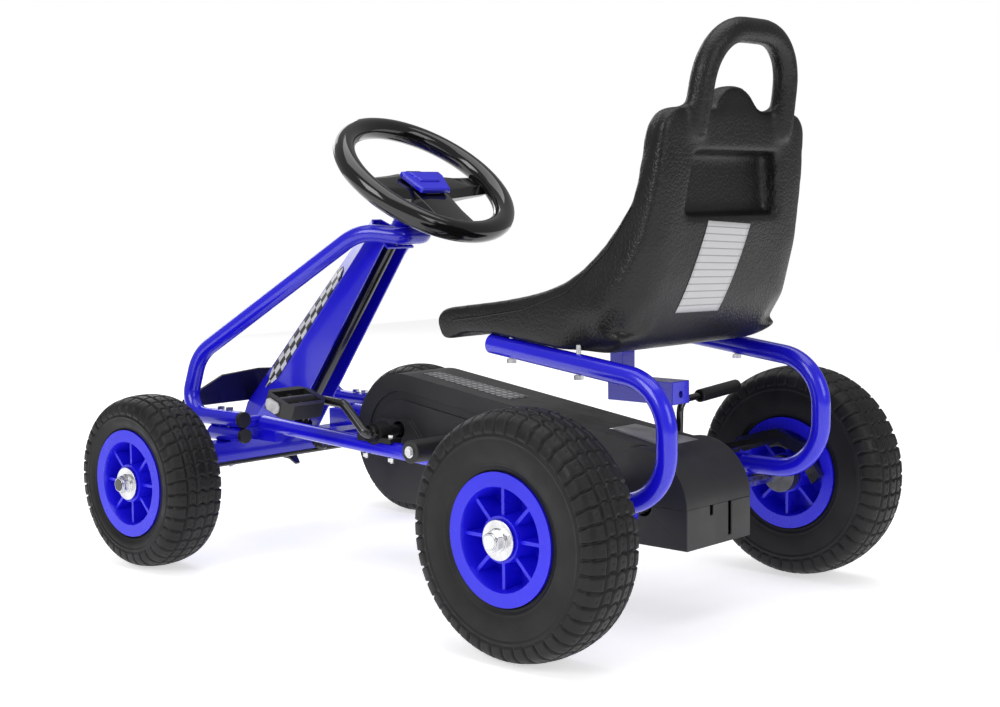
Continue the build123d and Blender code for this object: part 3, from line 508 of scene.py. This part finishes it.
def tyre_mesh(name, radius, pitches):
    """A tyre about the X axis: half section points turned round, then cut by the tread."""
    rise = radius - 0.140
    half = np.array([(0.0347, 0.0640), (0.0347, 0.0742), (0.0372, 0.0775), (0.0398, 0.0850 + rise * 0.2),
                     (0.0414, 0.0950 + rise * 0.5), (0.0420, 0.1060 + rise * 0.8), (0.0417, 0.1160 + rise),
                     (0.0405, 0.1240 + rise), (0.0375, 0.1305 + rise), (0.0310, 0.1352 + rise),
                     (0.0210, 0.1381 + rise), (0.0100, 0.1396 + rise), (0.0, 0.1400 + rise)])
    # a smooth curve through the section points, then even steps along it
    mirrored = np.vstack([half, half[-2::-1] * (-1, 1)])
    fine = np.linspace(0, len(mirrored) - 1, 1600)
    base = np.clip(fine.astype(int), 0, len(mirrored) - 2)
    f = fine - base
    p0, p1 = mirrored[np.clip(base - 1, 0, None)], mirrored[base]
    p2, p3 = mirrored[base + 1], mirrored[np.clip(base + 2, None, len(mirrored) - 1)]
    f = f[:, None]
    curve = 0.5 * (2 * p1 + (p2 - p0) * f + (2 * p0 - 5 * p1 + 4 * p2 - p3) * f ** 2
                   + (3 * p1 - p0 - 3 * p2 + p3) * f ** 3)
    run = np.concatenate([[0], np.cumsum(np.hypot(*np.diff(curve, axis=0).T))])
    total = run[-1]
    step = 0.00125
    count = int(total / step)
    at = np.linspace(0, total, count + 1)
    section = np.stack([np.interp(at, run, curve[:, 0]), np.interp(at, run, curve[:, 1])], 1)
    across = at - total / 2                      # distance from the tread's centre line
    tangent = np.gradient(section, axis=0)
    tangent /= np.linalg.norm(tangent, axis=1)[:, None]
    normal = np.stack([tangent[:, 1], -tangent[:, 0]], 1)
    normal *= np.where((normal[:, 1:] + normal[:, :1] * np.sign(section[:, :1])) < 0, -1, 1)
    around = pitches * 14
    turn = np.arange(around) * 2 * math.pi / around
    phase, offset = np.meshgrid(turn * pitches / (2 * math.pi), across, indexing="ij")
    high = section[:, 1] - rise
    size = np.abs(offset)
    tread_edge, lug_foot = 0.0315, 0.117
    foot_share = smooth_step(lug_foot - 0.0008, lug_foot + 0.0008, high)[None, :] * np.ones_like(phase)
    # ring grooves
    ring = np.zeros_like(size)
    for centre, width in ((0.0085, 0.0009), (0.0225, 0.0010)):
        ring = np.maximum(ring, 1 - smooth_step(width, width + 0.0011, np.abs(size - centre)))
    # V grooves between blocks, each band's ends turned forward
    band = np.select([size < 0.0085, size < 0.0225], [size * 0, size * 0 + 0.0155], 0.034)
    bend = smooth_step(0.0022, 0.0062, np.abs(size - band)) * 0.17
    shift = np.where(size < 0.0225, bend, 0.17 + (size - 0.0225) * 4.0)
    local = (phase + shift) % 1.0
    gap = np.minimum(local, 1 - local)
    pitch_length = 2 * math.pi * radius / pitches
    thin = np.where(size < 0.0225, 0.0007, 0.0011)
    cross = 1 - smooth_step(thin, thin + 0.0011, gap * pitch_length)
    # a pin hole in each block
    pin_x = np.abs(size - np.select([size < 0.0085, size < 0.0225], [0 * size, 0 * size + 0.0155], 0.0295))
    pin = 1 - smooth_step(0.0008, 0.0016, np.hypot(pin_x, (local - 0.5) * pitch_length))
    cut = np.maximum(ring * (size < tread_edge), cross) * 0.0030
    cut = np.maximum(cut, pin * 0.0010) * foot_share
    # below the lugs the wall steps in, with a thin rib and a bead line
    cut = cut + (1 - foot_share) * 0.0013
    for level, width, height in ((0.1125, 0.0008, 0.0010), (0.0815, 0.0007, 0.0006)):
        level = level + rise * (1.0 if level > 0.1 else 0.15)
        cut = cut - (1 - smooth_step(width, width + 0.001, np.abs(section[:, 1] - level)))[None, :] * height
    cut[:, high < 0.076] = 0
    x = section[None, :, 0] - normal[None, :, 0] * cut
    r = section[None, :, 1] - normal[None, :, 1] * cut
    points = np.stack([x, r * np.cos(turn)[:, None], r * np.sin(turn)[:, None]], 2)
    rows = points.shape[0]
    # inside of the carcass: one coarse wall a little under the section
    inner = section - normal * 0.0055
    inner[:, 0] = np.clip(inner[:, 0], -0.0300, 0.0300)
    inner = inner[(inner[:, 1] > 0.070)][::8]
    inside = np.stack([inner[None, :, 0] * np.ones((rows, 1)), inner[None, :, 1] * np.cos(turn)[:, None],
                       inner[None, :, 1] * np.sin(turn)[:, None]], 2)
    whole = np.concatenate([points, inside[:, ::-1]], 1)
    n = whole.shape[1]
    index = np.arange(rows * n).reshape(rows, n)
    nxt = np.roll(index, -1, axis=0)
    right = np.roll(index, -1, axis=1)
    right_next = np.roll(nxt, -1, axis=1)
    faces = np.stack([index, nxt, right_next, right], 2).reshape(-1, 4)
    mesh = bpy.data.meshes.new(name)
    mesh.vertices.add(rows * n)
    mesh.vertices.foreach_set("co", whole.reshape(-1).astype(np.float32))
    mesh.loops.add(faces.size)
    mesh.loops.foreach_set("vertex_index", faces.reshape(-1).astype(np.int32))
    mesh.polygons.add(len(faces))
    mesh.polygons.foreach_set("loop_start", np.arange(len(faces), dtype=np.int32) * 4)
    mesh.polygons.foreach_set("use_smooth", np.ones(len(faces), bool))
    mesh.update(calc_edges=True)
    mesh.validate()
    return mesh


wheel_spots = {"front_left": (0.264, -0.3665, 0.120), "front_right": (-0.264, -0.3665, 0.120),
               "rear_left": (0.278, 0.3465, 0.140), "rear_right": (-0.278, 0.3465, 0.140)}
tyre_shapes = {"front": tyre_mesh("front_tyre", 0.120, 40), "rear": tyre_mesh("rear_tyre", 0.140, 46)}
for spot, (x, y, z) in wheel_spots.items():
    tyre = link_mesh(spot + "_tyre_made", tyre_shapes[spot.split("_")[0]], tyre_rubber)
    turn_in = Matrix.Rotation(math.pi, 4, "Z") if x < 0 else Matrix.Identity(4)
    tyre.matrix_world = Matrix.Translation((x, y, z)) @ turn_in
    take_place(tyre, spot + "_tyre")

# ---------------------------------------------------------------------------------
# Chain case: two black moulded halves meeting in the middle with a round housing at
# the rear, and a tray below it. A grey dotted film runs along the front of the slope,
# and a silver one lies over the top of the rear housing.
# ---------------------------------------------------------------------------------
case_moulding = satin_moulding("case_moulding", (0.022, 0.022, 0.0235), 0.43, 650)
left_case = eased("chain_case_left", case_moulding, edge=0.0018, segments=3)
recess_floor, recess_more = 0.0488, 0.006       # the long recess in the outer wall is sunk further
for v in left_case.data.vertices:
    if abs(v.co.x - recess_floor) < 0.00015:
        v.co.x -= recess_more
eased("chain_case_right", case_moulding, edge=0.0018, segments=3)
eased("case_tray", case_moulding, edge=0.0012, segments=3)
nose_spot, nose_radius = (-0.083, 0.180), 0.089
tail_spot, tail_radius = (0.341, 0.160), 0.050
slope_run = math.hypot(tail_spot[0] - nose_spot[0], tail_spot[1] - nose_spot[1])
slope_turn = math.atan2(tail_spot[1] - nose_spot[1], tail_spot[0] - nose_spot[0])
slope_up = slope_turn + math.pi / 2 - math.asin((nose_radius - tail_radius) / slope_run)


def case_top(v):
    """A point of the case's top line: v runs from the nose's tangent to the tail's."""
    y0 = nose_spot[0] + nose_radius * math.cos(slope_up)
    z0 = nose_spot[1] + nose_radius * math.sin(slope_up)
    y1 = tail_spot[0] + tail_radius * math.cos(slope_up)
    z1 = tail_spot[1] + tail_radius * math.sin(slope_up)
    return y0 + (y1 - y0) * v, z0 + (z1 - z0) * v


def dotted_film():
    material, shader = start_material("dotted_film")
    where = add_node(material, "ShaderNodeUVMap", uv_map="print")
    dots = add_node(material, "ShaderNodeTexVoronoi", Scale=1.0, Randomness=0.0)
    edge = add_node(material, "ShaderNodeValToRGB")
    edge.color_ramp.elements[0].position, edge.color_ramp.elements[1].position = 0.30, 0.36
    edge.color_ramp.elements[0].color = (0.42, 0.42, 0.43, 1)
    edge.color_ramp.elements[1].color = (0.11, 0.11, 0.115, 1)
    join(material, where.outputs["UV"], dots.inputs["Vector"])
    join(material, dots.outputs["Distance"], edge.inputs["Fac"])
    join(material, edge.outputs["Color"], shader.inputs["Base Color"])
    mottle(material, shader, 0.30, 0.42, 60, "Roughness")
    grain(material, shader, 300, 0.03)
    return material


def on_slope(u, v):
    y, z = case_top(0.01 + 0.39 * v)
    wide = 0.015 + 0.004 * v
    return Vector((0.006 + (u - 0.5) * 2 * wide, y, z + 0.0004))


slope_film = sheet_grid("slope_film", on_slope, 10, 30, dotted_film(), (3.0, 15.0))
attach(slope_film, "frame")

silver_film_material, silver_shader = start_material("silver_film")
mottle(silver_film_material, silver_shader, (0.34, 0.34, 0.345), (0.62, 0.62, 0.63), 26, detail=1.0)
mottle(silver_film_material, silver_shader, 0.25, 0.40, 20, "Roughness")
grain(silver_film_material, silver_shader, 200, 0.04)
silver_shader.inputs["Metallic"].default_value = 0.6


def on_housing(u, v):
    y, z = case_top(min(1.0, 0.80 + 0.32 * v))
    over = max(0.0, v - 0.625) / 0.375 * 0.75
    y += tail_radius * (math.cos(slope_up - over) - math.cos(slope_up))
    z += tail_radius * (math.sin(slope_up - over) - math.sin(slope_up))
    return Vector(((u - 0.5) * 2 * (0.026 + 0.016 * v), y, z + 0.0004))


housing_film = sheet_grid("housing_film", on_housing, 8, 24, silver_film_material, (1.0, 1.0))
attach(housing_film, "frame")

# ---------------------------------------------------------------------------------
# Pedals: black moulded blocks with open platforms and chamfered ends, turning on the
# crank pins, with a reflector lens on the outer end.
# ---------------------------------------------------------------------------------
reflector_lens, lens_shader = start_material("reflector_lens")
mottle(reflector_lens, lens_shader, (0.38, 0.38, 0.39), (0.60, 0.60, 0.62), 120)
mottle(reflector_lens, lens_shader, 0.12, 0.22, 80, "Roughness")
where = add_node(reflector_lens, "ShaderNodeTexCoord")
prisms = add_node(reflector_lens, "ShaderNodeTexVoronoi", Scale=420.0, Randomness=0.0,
                  feature="DISTANCE_TO_EDGE")
prism_relief = add_node(reflector_lens, "ShaderNodeBump", Strength=0.6, Distance=0.0008)
join(reflector_lens, where.outputs["Object"], prisms.inputs["Vector"])
join(reflector_lens, prisms.outputs["Distance"], prism_relief.inputs["Height"])
join(reflector_lens, prism_relief.outputs["Normal"], lens_shader.inputs["Normal"])
for node in ("left_pedal", "right_pedal"):
    eased(node, black_moulding, edge=0.0025, segments=3)
for node in ("left_reflectors", "right_reflectors"):
    eased(node, reflector_lens, edge=0.0006)

# ---------------------------------------------------------------------------------
# Seat: one blow-moulded black shell with raised side wings, a carrying handle and a
# hump between its legs, and a sloped pocket in the back. Its rear corners are well
# rounded, and the skin has a leather crinkle.
# ---------------------------------------------------------------------------------
seat_voxel, seat_passes = 0.0032, 14
seat_source = frame["nodes"]["seat"]
mesh = seat_source.data.copy()
bm = bmesh.new()
bm.from_mesh(mesh)
bmesh.ops.remove_doubles(bm, verts=bm.verts, dist=1e-6)
# only the outer shell is kept; the sealed hollow inside isn't seen
islands, left = [], set(bm.verts)
while left:
    seed = left.pop()
    group, edge_of = {seed}, [seed]
    while edge_of:
        for link in edge_of.pop().link_edges:
            for v in link.verts:
                if v in left:
                    left.discard(v)
                    group.add(v)
                    edge_of.append(v)
    islands.append(group)
islands.sort(key=lambda g: max(v.co.z for v in g) - min(v.co.z for v in g))
for group in islands[:-1]:
    bmesh.ops.delete(bm, geom=list(group), context="VERTS")
bm.to_mesh(mesh)
bm.free()
seat_piece = link_mesh("seat_made", mesh, black_moulding)
remesh = seat_piece.modifiers.new("shell", "REMESH")
remesh.mode, remesh.voxel_size, remesh.use_smooth_shade = "VOXEL", seat_voxel, True
evaluated = seat_piece.evaluated_get(bpy.context.evaluated_depsgraph_get())
made = bpy.data.meshes.new_from_object(evaluated)
seat_piece.modifiers.clear()
seat_piece.data = made
co = np.empty(len(made.vertices) * 3, np.float32)
made.vertices.foreach_get("co", co)
co = co.reshape(-1, 3).astype(float)
edges = np.empty(len(made.edges) * 2, np.int32)
made.edges.foreach_get("vertices", edges)
edges = edges.reshape(-1, 2)
degree = np.bincount(edges.ravel(), minlength=len(co))[:, None]


# the lower rear corners
corner_x, corner_z, low_across, low_down = 0.120, 0.385, 0.050, 0.060
weight = smooth_step(0.300, 0.350, co[:, 1])
side = np.clip((np.abs(co[:, 0]) - corner_x) / low_across, 0, None)
down = np.clip((corner_z - co[:, 2]) / low_down, 0, None)
far = np.hypot(side, down)
shrink = np.where((far > 1) & (side > 0) & (down > 0), 1 / np.maximum(far, 1e-6), 1.0)
target_x = np.sign(co[:, 0]) * (corner_x + side * shrink * low_across)
target_z = corner_z - down * shrink * low_down
moved = (far > 1) & (side > 0) & (down > 0)
co[moved, 0] += (target_x - co[:, 0])[moved] * weight[moved]
co[moved, 2] += (target_z - co[:, 2])[moved] * weight[moved]
# the upright rear corners: the rear face's place at each height, then a round corner
corner_x, corner_r = 0.122, 0.050
rear_face = np.interp(co[:, 2], (0.338, 0.385, 0.450, 0.530, 0.600), (0.378, 0.408, 0.425, 0.436, 0.441))
side = np.clip((np.abs(co[:, 0]) - corner_x) / corner_r, 0, None)
aft = np.clip((co[:, 1] - rear_face + corner_r) / corner_r, 0, None)
far = np.hypot(side, aft)
moved = (far > 1) & (side > 0) & (aft > 0) & (co[:, 2] > 0.35)
near = 1 / np.maximum(far, 1e-6)
co[moved, 0] = (np.sign(co[:, 0]) * (corner_x + side * near * corner_r))[moved]
co[moved, 1] = (rear_face - corner_r + aft * near * corner_r)[moved]
for k in range(seat_passes):
    total = np.zeros_like(co)
    np.add.at(total, edges[:, 0], co[edges[:, 1]])
    np.add.at(total, edges[:, 1], co[edges[:, 0]])
    co = co + (total / degree - co) * 0.6
made.vertices.foreach_set("co", co.astype(np.float32).ravel())
made.update()


def crinkled_moulding():
    material, shader = start_material("crinkled_moulding")
    mottle(material, shader, (0.0065, 0.0065, 0.0068), (0.0105, 0.0105, 0.0110), 7)
    shader.inputs["Specular IOR Level"].default_value = 0.35
    mottle(material, shader, 0.30, 0.42, 18, "Roughness")
    where = add_node(material, "ShaderNodeTexCoord")
    cells = add_node(material, "ShaderNodeTexVoronoi", Scale=170.0, feature="DISTANCE_TO_EDGE")
    ease = add_node(material, "ShaderNodeMapRange")
    ease.inputs["From Max"].default_value = 0.22
    noise = add_node(material, "ShaderNodeTexNoise", Scale=55.0, Detail=5.0)
    wave = add_node(material, "ShaderNodeBump", Strength=0.30, Distance=0.0012)
    relief = add_node(material, "ShaderNodeBump", Strength=0.34, Distance=0.0006)
    join(material, where.outputs["Object"], cells.inputs["Vector"])
    join(material, where.outputs["Object"], noise.inputs["Vector"])
    join(material, cells.outputs["Distance"], ease.inputs["Value"])
    join(material, ease.outputs["Result"], relief.inputs["Height"])
    join(material, noise.outputs["Fac"], wave.inputs["Height"])
    join(material, wave.outputs["Normal"], relief.inputs["Normal"])
    join(material, relief.outputs["Normal"], shader.inputs["Normal"])
    return material


seat_skin = crinkled_moulding()
made.materials.clear()
made.materials.append(seat_skin)
for polygon in made.polygons:
    polygon.use_smooth = True
take_place(seat_piece, "seat")

# ---------------------------------------------------------------------------------
# Seat seams: the ridge that the mould's parting line leaves along both wings, a little
# below their upper edge.
# ---------------------------------------------------------------------------------
wing_edge_y = (0.118, 0.180, 0.250, 0.318, 0.368, 0.408)
wing_edge_z = (0.373, 0.381, 0.392, 0.415, 0.462, 0.533)
seam_from, seam_to, seam_below, seam_width = 0.135, 0.395, 0.016, 0.0024
for word, side in (("left", 1), ("right", -1)):
    def on_wing(u, v, side=side):
        y = seam_from + (seam_to - seam_from) * v
        z = float(np.interp(y, wing_edge_y, wing_edge_z)) - seam_below + (u - 0.5) * seam_width
        _, point, normal, _ = seat_piece.ray_cast(Vector((side * 0.40, y, z)), Vector((-side, 0, 0)))
        return Vector(point) + Vector(normal) * 0.0002
    seam = sheet_grid("seat_seam_" + word, on_wing, 2, 60, seat_skin, (1.0, 1.0), thickness=0.0012)
    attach(seam, "frame")

# ---------------------------------------------------------------------------------
# Seat label: a plain pale film stuck below the back pocket, blank but for a few thin
# grey rules.
# ---------------------------------------------------------------------------------
label_material, label_shader = start_material("label_film")
where = add_node(label_material, "ShaderNodeUVMap", uv_map="print")
rules = add_node(label_material, "ShaderNodeTexWave", wave_type="BANDS", bands_direction="Y", Scale=1.0)
rule_ramp = add_node(label_material, "ShaderNodeValToRGB")
rule_ramp.color_ramp.elements[0].position, rule_ramp.color_ramp.elements[1].position = 0.03, 0.10
rule_ramp.color_ramp.elements[0].color = (0.30, 0.30, 0.31, 1)
rule_ramp.color_ramp.elements[1].color = (0.56, 0.56, 0.57, 1)
join(label_material, where.outputs["UV"], rules.inputs["Vector"])
join(label_material, rules.outputs["Fac"], rule_ramp.inputs["Fac"])
join(label_material, rule_ramp.outputs["Color"], label_shader.inputs["Base Color"])
mottle(label_material, label_shader, 0.35, 0.45, 60, "Roughness")
grain(label_material, label_shader, 200, 0.03)
label_corners = ((-0.036, 0.473), (0.049, 0.478), (0.078, 0.373), (-0.007, 0.371))


def on_seat_back(u, v):
    (ax, az), (bx, bz), (cx, cz), (dx, dz) = label_corners
    low = Vector((dx, dz)) * (1 - u) + Vector((cx, cz)) * u
    top = Vector((ax, az)) * (1 - u) + Vector((bx, bz)) * u
    spot = low * (1 - v) + top * v
    _, point, normal, _ = seat_piece.ray_cast(Vector((spot.x, 0.60, spot.y)), Vector((0, -1, 0)))
    return Vector((point.x, point.y, point.z)) + Vector(normal) * 0.0005


seat_label = sheet_grid("seat_label", on_seat_back, 10, 16, label_material, (1.0, 4.0))
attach(seat_label, "frame")

# ---------------------------------------------------------------------------------
# Stand for the object: a pale seamless floor, four large soft lights and a camera at
# standing distance behind the left rear wheel.
# ---------------------------------------------------------------------------------
paper, paper_shader = start_material("paper")
mottle(paper, paper_shader, (0.80, 0.80, 0.80), (0.83, 0.83, 0.83), 0.6)
mottle(paper, paper_shader, 0.80, 0.90, 2, "Roughness")
paper_shader.inputs["Emission Color"].default_value = (1, 1, 1, 1)
paper_shader.inputs["Emission Strength"].default_value = 0.60
bm = bmesh.new()
bmesh.ops.create_grid(bm, x_segments=2, y_segments=2, size=3.4)
floor_mesh = bpy.data.meshes.new("floor")
bm.to_mesh(floor_mesh)
bm.free()
floor = link_mesh("floor", floor_mesh, paper)
floor.location = (0, 0, -0.0005)


def soft_light(name, spot, aim, size, power):
    data = bpy.data.lights.new(name, "AREA")
    data.shape, data.size, data.energy = "SQUARE", size, power
    light = bpy.data.objects.new(name, data)
    bpy.context.scene.collection.objects.link(light)
    light.location = spot
    light.rotation_mode = "QUATERNION"
    light.rotation_quaternion = (Vector(aim) - Vector(spot)).to_track_quat("-Z", "Y")
    return light


soft_light("overhead", (0.0, 0.2, 3.2), (0, 0, 0.2), 3.2, 52)
soft_light("left_bank", (3.0, 0.2, 1.9), (0, 0, 0.25), 1.6, 38)
soft_light("rear_bank", (0.2, 3.4, 1.6), (0, 0, 0.25), 1.6, 22)
soft_light("front_bank", (-1.2, -3.0, 1.8), (0, 0, 0.3), 2.0, 24)
world = bpy.data.worlds.new("studio")
bpy.context.scene.world = world
world.use_nodes = True
backdrop = world.node_tree.nodes["Background"]
backdrop.inputs["Color"].default_value = (1.0, 1.0, 1.0, 1)
seen = world.node_tree.nodes.new("ShaderNodeLightPath")
level_of = world.node_tree.nodes.new("ShaderNodeMapRange")
level_of.inputs["To Min"].default_value, level_of.inputs["To Max"].default_value = 0.30, 1.0
world.node_tree.links.new(seen.outputs["Is Camera Ray"], level_of.inputs["Value"])
world.node_tree.links.new(level_of.outputs["Result"], backdrop.inputs["Strength"])

camera_data = bpy.data.cameras.new("camera")
camera_data.lens, camera_data.sensor_width = 58.24, 36
camera = bpy.data.objects.new("camera", camera_data)
bpy.context.scene.collection.objects.link(camera)
camera.location = (1.5693, 1.5145, 0.5042)
look = Vector((-0.0056, 0.0517, 0.3001)) - camera.location
camera.rotation_mode = "QUATERNION"
level = look.to_track_quat("-Z", "Y")
camera.rotation_quaternion = level @ Matrix.Rotation(-math.radians(0.64), 4, "Z").to_quaternion()
bpy.context.scene.camera = camera
bpy.context.scene.view_settings.view_transform = "Standard"
